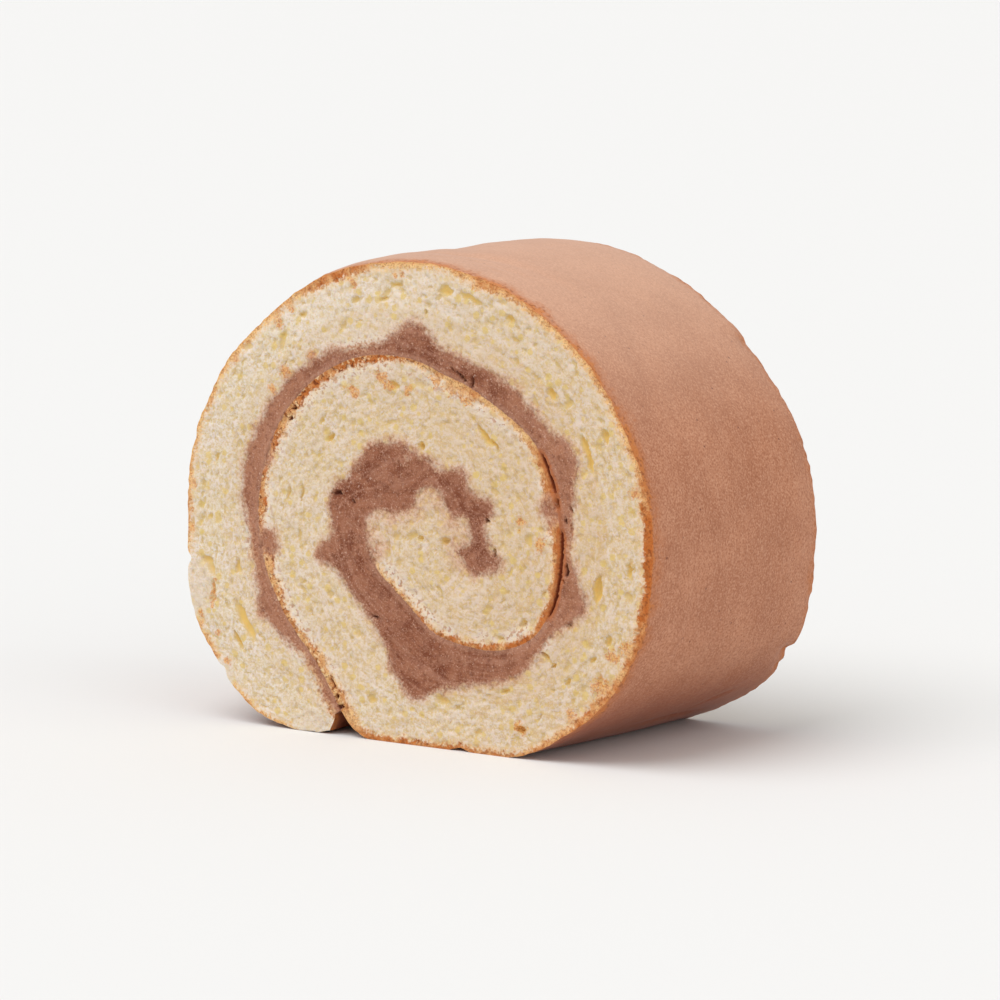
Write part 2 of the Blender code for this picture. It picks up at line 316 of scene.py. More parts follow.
class Cut:
    """One cut's outline as a ring of points: along the browned side from the loose end to the tail, then
    back along the pale side. The cream lies between the ring points mouth_in, tail and mouth_out."""

    def __init__(self, y, hub, spacing):
        self.y, self.hub, self.spacing = y, np.array(hub), spacing
        sponge, cream = cut_outline("sponge", y), cut_outline("cream", y)
        turned = winding(cream, hub)
        mouth, tail = cream[np.argmin(turned)], cream[np.argmax(turned)]
        sponge = np.roll(sponge, -nearest(sponge, tail), axis=0)
        sponge = np.vstack([sponge, sponge[:1]])
        end = int(np.argmin(winding(sponge, hub)))
        browned = smooth_line(sponge[end:], spacing)
        pale = smooth_line(sponge[: end + 1], spacing)
        self.ring = np.vstack([browned[:-1], pale[:-1]])
        self.tail = len(browned) - 1
        inner = np.arange(self.tail // 3, self.tail)
        pressed = round(PRESSED_OUT / spacing)
        self.mouth_in = int(inner[nearest(self.ring[inner], mouth)]) - pressed
        self.mouth_out = self.tail + nearest(pale[:-1], mouth) + pressed
        self.share = np.concatenate(
            [np.linspace(0, 1, len(browned))[:-1], 1 + np.linspace(0, 1, len(pale))[:-1]]
        )
        self.turned = winding(self.ring[: self.tail + 1], self.hub)
        pale_turned = winding(self.ring[self.tail :], self.hub)
        pale_turned += 2 * math.pi * round((self.turned[-1] - pale_turned[0]) / (2 * math.pi))
        self.ring_turned = np.concatenate([self.turned[:-1], pale_turned])

    def unrolled(self, flat, ring_index):
        """How far (x, z) points near ring points are along the sheet, and across it from the browned side."""
        out = flat - self.hub
        radius = np.hypot(*out.T)
        angle = np.arctan2(-out[:, 0], -out[:, 1])
        whole_turns = np.round((self.ring_turned[ring_index] - angle) / (2 * math.pi))
        angle += 2 * math.pi * whole_turns
        order = np.argsort(self.turned)
        turned = self.turned[order]
        browned = np.hypot(*(self.ring[: self.tail + 1] - self.hub).T)[order]
        middle = np.maximum(browned - SHEET_MIDDLE, LEAST_RADIUS)
        length = np.concatenate([[0], np.cumsum(np.diff(turned) * (middle[1:] + middle[:-1]) / 2)])
        return np.interp(angle, turned, length), radius - np.interp(angle, turned, browned)


near = Cut(NEAR_Y, NEAR_HUB, NEAR_GRID)
far = Cut(FAR_Y, FAR_HUB, FAR_GRID)

# Distance along the outline stands for the share of the way round it, the same at both cuts.
ring_steps = np.hypot(*np.diff(np.vstack([near.ring, near.ring[:1]]), axis=0).T)
ring_at = np.concatenate([[0], np.cumsum(ring_steps)])
ROUND = ring_at[-1]
near_share = np.append(near.share, 2)


def around_of(share):
    return np.interp(share, near_share, ring_at)


AROUND_IN = around_of(near.share[near.mouth_in])


def around_at(x, z, stop=near.mouth_in):
    """The distance round the near cut's outline to its place nearest to this x and z in mm."""
    return around_of(near.share[nearest(near.ring[:stop], (x * MM, z * MM))])


def on_ring(cut, around):
    share = np.interp(around, ring_at, near_share)
    ring_share = np.append(cut.share, 2)
    ring = np.vstack([cut.ring, cut.ring[:1]])
    return np.stack([np.interp(share, ring_share, ring[:, i]) for i in (0, 1)], axis=1)


def smooth_wall(around, along):
    """The plain wall at a distance round the outline and along the roll: (x, y, z)."""
    way = (along / ROLL_LENGTH)[:, None]
    flat = on_ring(near, around) * (1 - way) + on_ring(far, around) * way
    from_cut = np.minimum(along, ROLL_LENGTH - along)
    swell = 1 + CUT_PINCH / ROLL_HEIGHT * (1 - np.exp(-from_cut / PINCH_REACH))
    flat = flat * swell[:, None]
    return np.stack([flat[:, 0], NEAR_Y + along, flat[:, 1]], axis=1)


# How the skin stands out from the plain wall
def skin_relief(points, around, along):
    shown = rise(around, AROUND_IN - 0.001, AROUND_IN - 0.006)
    from_cut = np.minimum(along, ROLL_LENGTH - along)
    wide = 0.00022 * noise(points * [1, 0.7, 1], 0.014, 0.0)
    fine = layers(points, (0.00008, 0.0045, 7.3), (0.000028, 0.0016, 3.1))
    ragged = layers(points, (0.00016, 0.0010, 5.7), (0.0001, 0.0024, 1.9))
    marks = np.zeros(len(points))
    for x, z, far_along, reach_round, reach_along, height, turn in MARKS:
        c, s = math.cos(math.radians(turn)), math.sin(math.radians(turn))
        off_round, off_along = around - around_at(x, z), along - far_along * MM
        u = (off_round * c + off_along * s) / (reach_round * MM)
        v = (off_along * c - off_round * s) / (reach_along * MM)
        marks += height * MM * np.exp(-u * u - v * v)
    return shown * (wide + fine + marks + ragged * rise(from_cut, 0.0014, 0))


def wall(around, along):
    """The wall with its relief: (x, y, z)."""
    step = 0.0004
    points = smooth_wall(around, along)
    ahead = smooth_wall((around + step) % ROUND, along) - smooth_wall((around - step) % ROUND, along)
    tangent = ahead[:, [0, 2]] / np.maximum(np.hypot(ahead[:, 0], ahead[:, 2]), 1e-9)[:, None]
    out = skin_relief(points, around, along)
    points[:, 0] -= tangent[:, 1] * out
    points[:, 2] += tangent[:, 0] * out
    points[:, 2] = np.maximum(points[:, 2], 0)
    return points


# The relief of a cut face
class Hollows:
    """A map of how deep the surface lies below the cut, read by (x, z)."""

    def __init__(self):
        self.low = np.array([LOW.x - MARGIN, LOW.z - MARGIN])
        size = (np.array([HIGH.x, HIGH.z]) + MARGIN - self.low) / RELIEF_PITCH
        self.depth = np.zeros(size.astype(int) + 1)

    def cut_open(self, x, z, half_long, half_wide, depth, tilt):
        """One bubble cut open by the knife."""
        reach = max(half_long, half_wide)
        first = np.floor(((x, z) - self.low - reach) / RELIEF_PITCH).astype(int)
        last = np.ceil(((x, z) - self.low + reach) / RELIEF_PITCH).astype(int) + 1
        if (first < 0).any() or (last >= self.depth.shape).any():
            return
        window = self.depth[first[0] : last[0], first[1] : last[1]]
        dx = (np.arange(first[0], last[0]) * RELIEF_PITCH + self.low[0] - x)[:, None]
        dz = (np.arange(first[1], last[1]) * RELIEF_PITCH + self.low[1] - z)[None, :]
        c, s = math.cos(tilt), math.sin(tilt)
        inside = 1 - ((dx * c + dz * s) / half_long) ** 2 - ((dz * c - dx * s) / half_wide) ** 2
        np.maximum(window, depth * np.sqrt(np.maximum(inside, 0)), out=window)

    def cut_named(self, holes):
        for hole in holes:
            self.cut_open(*(measure * MM for measure in hole[:5]), math.radians(hole[5]))

    def scatter(self, rng, count, radii, stretch, deepness, tilt_at):
        """Bubbles at random: their range of radii, the most they are drawn out, and their range of depths
        for a radius of 1."""
        low = self.low + MARGIN
        high = self.low + np.array(self.depth.shape) * RELIEF_PITCH - MARGIN
        centres = rng.uniform(low, high, (count, 2))
        tilts = tilt_at(centres) + rng.normal(0, 0.35, count)
        sizes = radii[0] * (radii[1] / radii[0]) ** (rng.uniform(0, 1, count) ** 1.6)
        longer = rng.uniform(1, stretch, count)
        depths = sizes * rng.uniform(*deepness, count)
        for (x, z), size, long, depth, tilt in zip(centres, sizes, longer, depths, tilts):
            self.cut_open(x, z, size * long, size / math.sqrt(long), depth, tilt)

    def at(self, points):
        at = (points - self.low) / RELIEF_PITCH
        i, j = at.astype(int).T
        u, v = (at - np.floor(at)).T
        near_row = self.depth[i, j] * (1 - v) + self.depth[i, j + 1] * v
        far_row = self.depth[i + 1, j] * (1 - v) + self.depth[i + 1, j + 1] * v
        return near_row * (1 - u) + far_row * u


def relief_maps(cut, seed, named):
    """The hollows of the crumb and of the cream on one cut."""
    rng = np.random.default_rng(seed)
    tree = tree_of(cut.ring)
    tangent = np.roll(cut.ring, -2, axis=0) - np.roll(cut.ring, 2, axis=0)
    lean = np.arctan2(tangent[:, 1], tangent[:, 0])

    def tilt_at(places):
        return lean[find_all(tree, places)[0]]

    crumb, cream = Hollows(), Hollows()
    crumb.scatter(rng, 8000, (0.00018, 0.00042), 1.9, (0.35, 0.8), tilt_at)
    crumb.scatter(rng, 900, (0.00036, 0.00066), 2.0, (0.3, 0.65), tilt_at)
    crumb.scatter(rng, 24, (0.00060, 0.0010), 2.2, (0.4, 0.7), tilt_at)
    cream.scatter(rng, 1700, (0.00014, 0.00036), 1.5, (0.3, 0.7), tilt_at)
    if named:
        crumb.cut_named(HOLES + CRACKS)
        cream.cut_named(CRACKS)
    return crumb, cream


def along_crust(places, column):
    """One column of the crust table at these distances round the outline."""
    rows = sorted((around_at(row[0], row[1], near.tail), row[column]) for row in CRUST)
    return np.interp(places, *np.array(rows).T)


def face_of(cut, seed, named):
    """One cut face as arrays: points, triangles of the sponge and of the cream, and fields for the looks.

    The ring comes first in the points, then the bridge that closes the cream's outline at the mouth.
    """
    rng = np.random.default_rng(seed + 100)
    h = cut.spacing
    along = np.full(len(cut.ring), 0.0 if cut is near else ROLL_LENGTH)
    ring = wall(around_of(cut.share), along)[:, [0, 2]]
    start, end = ring[cut.mouth_out], ring[cut.mouth_in]
    parts = max(2, round(float(np.hypot(*(end - start))) / h))
    bridge = start + (end - start) * np.linspace(0, 1, parts + 1)[1:-1, None]
    loop = np.vstack([ring, bridge])

    low, high = ring.min(axis=0), ring.max(axis=0)
    rows = np.arange(low[1], high[1], h * math.sqrt(3) / 2)
    columns = np.arange(low[0], high[0], h)
    x, z = np.meshgrid(columns, rows)
    x[1::2] += h / 2
    inner = np.stack([x.ravel(), z.ravel()], axis=1)
    inner += rng.uniform(-GRID_JITTER, GRID_JITTER, inner.shape) * h
    loop_tree = tree_of(loop)
    inner = inner[find_all(loop_tree, inner)[1] > 0.62 * h]

    flat = np.vstack([loop, inner])
    count = len(cut.ring)
    sheet = list(range(count))[::-1]
    slit = list(range(cut.mouth_in, cut.mouth_out + 1)) + list(range(count, count + len(bridge)))
    triangles, origins = triangulate(flat / MM, [sheet, slit])
    in_sheet = np.array([0 in origin for origin in origins])

    used = np.zeros(len(flat), bool)
    used[triangles.ravel()] = True
    used[: len(loop)] = True
    index = np.cumsum(used) - 1
    flat, triangles = flat[used], index[triangles]
    in_cream = np.zeros(len(flat), bool)
    in_cream[triangles[~in_sheet].ravel()] = True
    in_cream[: len(loop)] = False

    # Distances to the browned side, to the outer skin and to the cream.
    brown_points = np.flatnonzero(cut.turned < BROWN_END)
    ring_hit = find_all(tree_of(ring), flat)[0]
    lengthwise, across = cut.unrolled(flat, ring_hit)
    hit, to_brown = find_all(tree_of(ring[brown_points]), flat)
    brown_around = around_of(cut.share[brown_points[hit]])
    outer = np.r_[0 : cut.mouth_in, cut.mouth_out : count]
    to_outer = find_all(tree_of(ring[outer]), flat)[1]
    on_seam = np.zeros(len(flat), bool)
    on_seam[cut.mouth_in : cut.mouth_out + 1] = True
    on_seam[count : len(loop)] = True
    core = rise(np.hypot(*(flat - cut.hub).T), 0.0150, 0.0070)

    # The cream has soaked into the pale side, and into the core where nothing is browned. Its edge against
    # the crust stays sharp.
    seam = np.arange(cut.mouth_in, cut.mouth_out + 1)
    soft = (seam >= cut.tail) | (cut.ring_turned[seam] >= BROWN_END)
    seam_hit, to_seam = find_all(tree_of(ring[seam]), flat)
    to_soft = find_all(tree_of(ring[seam[soft]]), flat)[1]
    barred = rise(BROWN_END - cut.ring_turned[seam], 0, 0.35) * (seam < cut.tail) * BARRED
    to_cream = np.where(in_cream | on_seam, -to_soft, to_seam + barred[seam_hit])
    inside = np.where(in_cream, to_seam, 0)

    crumb_hollows, cream_hollows = relief_maps(cut, seed, named)
    level = np.stack([flat[:, 0], np.full(len(flat), cut.y), flat[:, 1]], axis=1)
    bent = bent_by(flat, level, WOBBLE, 0.0011, (11.3, 17.9))
    deep_crumb, deep_cream = crumb_hollows.at(bent), cream_hollows.at(bent)
    depth = np.where(in_cream, deep_cream, deep_crumb)
    depth[on_seam] = (deep_crumb[on_seam] + deep_cream[on_seam]) / 2
    first, last = (around_at(x, z, near.tail) for x, z in CREVICE)
    crevice = rise(brown_around, first - 0.001, first + 0.002)
    crevice *= rise(brown_around, last + 0.001, last - 0.002)
    crevice *= rise(line_layers(brown_around, (1, 0.0036, 3.5)), -0.7, 0.1)
    off_crust = to_brown + layers(level, (0.00016, 0.0006, 14.2))
    off_crust += line_layers(brown_around, (0.00012, 0.0015, 6.5))
    crevice *= 0.5 * rise(off_crust, 0.0012, 0.0005) + 0.5 * rise(off_crust, 0.00045, 0.00012)
    depth = np.maximum(depth, CREVICE_DEPTH * rise(crevice, 0.5, 1))
    depth *= 0.15 + 0.85 * rise(to_outer, 0.0001, 0.0008)
    swell = layers(level, (0.00028, 0.011, 2.2), (0.00012, 0.0034, 4.6), (0.00006, 0.0011, 8.1))
    low_cream = 0.00005 * rise(inside, 0, 0.0008)
    inward = 1 if cut is near else -1
    solid = level.copy()
    solid[:, 1] += inward * (depth + low_cream + swell * rise(to_outer, 0, 0.002))

    crust = along_crust(brown_around, 2)
    crust *= 1 + line_layers(brown_around, (0.4, 0.005, 1.5), (0.35, 0.0017, 2.5))
    baked = along_crust(brown_around, 3) + line_layers(brown_around, (0.15, 0.003, 4.5))
    stain = np.zeros(len(flat))
    bare = np.zeros(len(flat))
    torn = bent_by(flat, level, STAIN_WOBBLE, 0.0017, (21.1, 29.3))
    if named:
        for x, z, reach in CREAM_OVER:
            to_cream = np.minimum(to_cream, (off_from(flat, x, z) - reach) * MM)
        for x, z, reach, by in CREAM_EDGE:
            off = off_from(flat, x, z) / reach
            to_cream += by * MM * np.exp(-off * off)
        for x, z, reach in BARE:
            bare = np.maximum(bare, rise(off_from(torn, x, z) / reach, 1.2, 0.7))
        for x, z, reach in STAINS:
            stain = np.maximum(stain, np.clip(1.4 - off_from(torn, x, z) / reach, 0, 1))
    fields = {
        "skin_mm": to_brown / MM,
        "cream_mm": to_cream / MM,
        "pit_mm": depth / MM,
        "crust_mm": crust - 3 * bare,
        "baked": np.clip(baked, 0, 1),
        "bare": bare,
        "crevice": crevice,
        "inner_turn": rise(brown_around, AROUND_IN - 0.002, AROUND_IN + 0.002),
        "stain": stain,
        "core": core,
        "lengthwise_mm": lengthwise / MM,
        "across_mm": across / MM,
    }
    return {
        "points": solid,
        "sheet": triangles[in_sheet],
        "slit": triangles[~in_sheet],
        "fields": fields,
        "bridge": np.arange(count, len(loop)),
    }


# The wall between the cuts
def wall_rows(first, most, growth):
    """Rows of points along the roll: (place, step), close together at the cuts."""
    rows, step, at = [], first, first
    while at < ROLL_LENGTH / 2 - step / 2:
        rows.append((at, step))
        step = min(step * growth, most)
        at += step
    return rows + [(ROLL_LENGTH - place, step) for place, step in rows[::-1]]


SKIN_ROWS = wall_rows(0.0004, SKIN_GRID * 0.87, 1.15)
HIDDEN_ROWS = wall_rows(0.0009, WALL_GRID * 0.87, 1.7)


def wall_mesh(near_base, far_base, first_free):
    """The sponge's wall, from near ring to far ring. Points and triangles use the numbers of the whole
    piece: the near ring starts at near_base, the far one at far_base, and new points at first_free."""
    rng = np.random.default_rng(31)
    places, owner = [], []

    def add(around, along, number=None):
        places.append((around / MM, along / MM))
        owner.append(number)
        return len(places) - 1

    near_ids = [add(a, 0.0, near_base + i) for i, a in enumerate(around_of(near.share))]
    near_ids.append(add(ROUND, 0.0, near_base))
    far_ids = [add(a, ROLL_LENGTH, far_base + i) for i, a in enumerate(around_of(far.share))]
    far_ids.append(add(ROUND, ROLL_LENGTH, far_base))
    stops = (
        (0, 0),
        (near.mouth_in, far.mouth_in),
        (near.mouth_out, far.mouth_out),
        (len(near.ring), len(far.ring)),
    )
    lines = []
    for near_stop, far_stop in stops:
        ends = np.array([places[near_ids[near_stop]][0], places[far_ids[far_stop]][0]]) * MM
        line = [near_ids[near_stop]]
        for along, _ in SKIN_ROWS:
            line.append(add(ends[0] + (ends[1] - ends[0]) * along / ROLL_LENGTH, along))
        line.append(far_ids[far_stop])
        lines.append((line, ends))

    for band in range(3):
        (_, left), (_, right) = lines[band], lines[band + 1]
        for along, step in HIDDEN_ROWS if band == 1 else SKIN_ROWS:
            way = along / ROLL_LENGTH
            start = left[0] + (left[1] - left[0]) * way + step * 0.6
            stop = right[0] + (right[1] - right[0]) * way - step * 0.6
            spaces = max(1, round((stop - start) / (step * 1.15)))
            for i in range(spaces + 1):
                slide = rng.uniform(-0.25, 0.25) * step if 0 < i < spaces else 0
                lift = rng.uniform(-0.12, 0.12) * step
                add(start + (stop - start) * i / spaces + slide, along + lift)

    bands = []
    for band in range(3):
        (left, _), (right, _) = lines[band], lines[band + 1]
        bottom = near_ids[stops[band][0] : stops[band + 1][0] + 1]
        top = far_ids[stops[band][1] : stops[band + 1][1] + 1]
        bands.append(bottom[:-1] + right[:-1] + top[:0:-1] + left[:0:-1])
    triangles, origins = triangulate(np.array(places), bands)
    band_of = np.array([origin[0] for origin in origins])

    # The last line is the first one again, so its points are the same points.
    same = dict(zip(lines[3][0], lines[0][0]))
    numbers = np.empty(len(places), int)
    free = []
    for i, number in enumerate(owner):
        if i in same and number is None:
            continue
        if number is None:
            number = first_free + len(free)
            free.append(places[i])
        numbers[i] = number
    for i, twin in same.items():
        numbers[i] = numbers[twin]
    flat = np.array(free) * MM
    mouths = [[int(numbers[i]) for i in lines[k][0]] for k in (1, 2)]
    return wall(flat[:, 0], flat[:, 1]), flat, numbers[triangles], band_of, mouths


def new_object(name, data):
    made = bpy.data.objects.new(name, data)
    bpy.context.scene.collection.objects.link(made)
    return made


def build_piece(name, points, triangles, fields, material_of, materials):
    used, index = np.unique(triangles, return_inverse=True)
    mesh = bpy.data.meshes.new(name)
    mesh.from_pydata(points[used].tolist(), [], index.reshape(-1, 3).tolist())
    for key, values in fields.items():
        layer = mesh.attributes.new(key, "FLOAT", "POINT")
        layer.data.foreach_set("value", values[used].astype(np.float32))
    for material in materials:
        mesh.materials.append(material)
    mesh.polygons.foreach_set("material_index", material_of.astype(np.int32))
    mesh.shade_smooth()
    mesh.set_sharp_from_angle(angle=math.radians(55))
    return new_object(name, mesh)


# What the fields of the cut faces are on the walls between.
PLAIN_WALL = {"skin_mm": 6.0, "cream_mm": 6.0, "crust_mm": 1.0}


def build_roll(crumb_look, skin_look):
    front = face_of(near, 3, True)
    rear = face_of(far, 4, False)
    rear_base = len(front["points"])
    free_base = rear_base + len(rear["points"])
    side_points, side_flat, sides, band_of, mouths = wall_mesh(0, rear_base, free_base)
    points = np.vstack([front["points"], rear["points"], side_points])

    fields = {}
    for key in front["fields"]:
        blank = np.full(len(side_points), PLAIN_WALL.get(key, 0.0))
        fields[key] = np.concatenate([front["fields"][key], rear["fields"][key], blank])
    around = [around_of(near.share), np.zeros(rear_base - len(near.ring)), around_of(far.share)]
    around += [np.zeros(free_base - rear_base - len(far.ring)), side_flat[:, 0]]
    fields["around_mm"] = np.concatenate(around) / MM
    fields["along_mm"] = (points[:, 1] - NEAR_Y) / MM

    rear_sheet, rear_slit = rear["sheet"][:, ::-1] + rear_base, rear["slit"][:, ::-1] + rear_base
    sponge = np.vstack([front["sheet"], rear_sheet, sides])
    cuts = np.zeros(len(front["sheet"]) + len(rear_sheet))
    looks = (crumb_look, skin_look)
    look_of = np.concatenate([cuts, band_of != 1])
    sponge_piece = build_piece("sponge_sheet", points, sponge, fields, look_of, looks)

    hidden = sides[band_of == 1][:, ::-1]
    inner, outer = mouths
    mouth = []
    near_bridge = [outer[0], *front["bridge"].tolist(), inner[0]]
    far_bridge = [outer[-1], *(rear["bridge"] + rear_base).tolist(), inner[-1]]
    for a, b in zip(near_bridge, near_bridge[1:]):
        mouth.append((a, outer[1], b))
    mouth.append((inner[0], outer[1], inner[1]))
    for k in range(1, len(inner) - 2):
        mouth.append((outer[k], outer[k + 1], inner[k]))
        mouth.append((inner[k], outer[k + 1], inner[k + 1]))
    for a, b in zip(far_bridge, far_bridge[1:]):
        mouth.append((a, b, outer[-2]))
    mouth.append((inner[-1], inner[-2], outer[-2]))
    cream = np.vstack([front["slit"], rear_slit, hidden, np.array(mouth)])
    wall_part = np.arange(len(points)) >= free_base
    cream_fields = dict(fields)
    cream_fields["cream_mm"] = np.where(wall_part, -3.0, fields["cream_mm"])
    look_of = np.zeros(len(cream))
    cream_piece = build_piece("cream_filling", points, cream, cream_fields, look_of, looks[:1])
    return sponge_piece, cream_piece


# Looks
def linear(red, green, blue):
    """A colour given as it looks on a screen, 0 to 255, in the form that a shader takes."""
    return tuple(
        c / 12.92 if c <= 0.04045 else ((c + 0.055) / 1.055) ** 2.4
        for c in (red / 255, green / 255, blue / 255)
    ) + (1.0,)


class Look:
    """A material and short ways to add nodes to it."""

    def __init__(self, name, **shader):
        self.material = bpy.data.materials.new(name)
        self.material.use_nodes = True
        self.nodes, self.links = self.material.node_tree.nodes, self.material.node_tree.links
        self.nodes.clear()
        self.shader = self.add("ShaderNodeBsdfPrincipled")
        output = self.add("ShaderNodeOutputMaterial")
        self.links.new(self.shader.outputs[0], output.inputs["Surface"])
        self.set(**shader)
        self.place = self.add("ShaderNodeTexCoord").outputs["Object"]

    def set(self, **shader):
        """Sets the shader's inputs, to numbers or to what other nodes give."""
        for key, value in shader.items():
            self.put(self.shader.inputs[key.replace("_", " ")], value)

    def add(self, kind, **settings):
        node = self.nodes.new(kind)
        for key, value in settings.items():
            setattr(node, key, value)
        return node

    def put(self, socket, value):
        if isinstance(value, bpy.types.NodeSocket):
            self.links.new(value, socket)
        else:
            socket.default_value = value

    def fields(self, *names):
        return [self.add("ShaderNodeAttribute", attribute_name=name).outputs["Fac"] for name in names]

    def math(self, operation, a, b=0.0):
        node = self.add("ShaderNodeMath", operation=operation)
        for socket, value in zip(node.inputs, (a, b)):
            self.put(socket, value)
        return node.outputs[0]

    def plus(self, a, b):
        return self.math("ADD", a, b)

    def minus(self, a, b):
        return self.math("SUBTRACT", a, b)

    def times(self, a, b):
        return self.math("MULTIPLY", a, b)

    def swing(self, noise, by):
        """Noise turned to swing about 0."""
        return self.times(self.minus(noise, 0.5), by)

    def part(self, color, index):
        node = self.add("ShaderNodeSeparateColor")
        self.put(node.inputs[0], color)
        return node.outputs[index]

    def part_of_place(self, axis):
        node = self.add("ShaderNodeSeparateXYZ")
        self.put(node.inputs[0], self.place)
        return node.outputs[axis]

    def moved(self, by):
        """The place moved by this many metres each way, so that a pattern is unlike the others."""
        node = self.add("ShaderNodeVectorMath", operation="ADD")
        self.put(node.inputs[0], self.place)
        node.inputs[1].default_value = (by, by, by)
        return node.outputs[0]

    def place_of(self, first, first_scale, second, second_scale):
        """A place in a flat pattern, from two fields in millimetres."""
        node = self.add("ShaderNodeCombineXYZ")
        self.put(node.inputs["X"], self.times(first, first_scale))
        self.put(node.inputs["Y"], self.times(second, second_scale))
        return node.outputs[0]

    def pattern(self, kind, size, place):
        node = self.add(kind)
        self.put(node.inputs["Vector"], place or self.place)
        node.inputs["Scale"].default_value = 1 / size
        return node

    def noise(self, size, detail, place=None):
        """Noise, 0 to 1 and mostly near a half, with bumps of this size in metres."""
        node = self.pattern("ShaderNodeTexNoise", size, place)
        node.inputs["Detail"].default_value = detail
        return node.outputs["Fac"]

    def cells(self, size, place=None):
        return self.pattern("ShaderNodeTexVoronoi", size, place)

    def step(self, value, start, end):
        """0 where value is start, 1 where it is end, smooth between."""
        node = self.add("ShaderNodeMapRange", interpolation_type="SMOOTHSTEP")
        for socket, number in zip(node.inputs, (value, start, end, 0.0, 1.0)):
            self.put(socket, number)
        return node.outputs["Result"]

    def blend(self, share, first, second):
        node = self.add("ShaderNodeMix", data_type="RGBA")
        self.put(node.inputs["Factor"], share)
        self.put(node.inputs[6], first)
        self.put(node.inputs[7], second)
        return node.outputs[2]

    def bump(self, height, distance, strength, below=None):
        node = self.add("ShaderNodeBump")
        node.inputs["Strength"].default_value = strength
        node.inputs["Distance"].default_value = distance
        self.put(node.inputs["Height"], height)
        if below is not None:
            self.put(node.inputs["Normal"], below)
        return node.outputs["Normal"]


class Tone:
    """A colour built up in layers. Colours are red, green and blue as they look on a screen, 0 to 255."""

    def __init__(self, look, share, first, second):
        self.look = look
        self.color = look.blend(share, linear(*first), linear(*second))

    def over(self, layer, share, amount=1):
        """Lays a colour, or another tone, over this one by its share times the amount."""
        share = share if amount == 1 else self.look.times(share, amount)
        top = layer.color if isinstance(layer, Tone) else linear(*layer)
        self.color = self.look.blend(share, self.color, top)


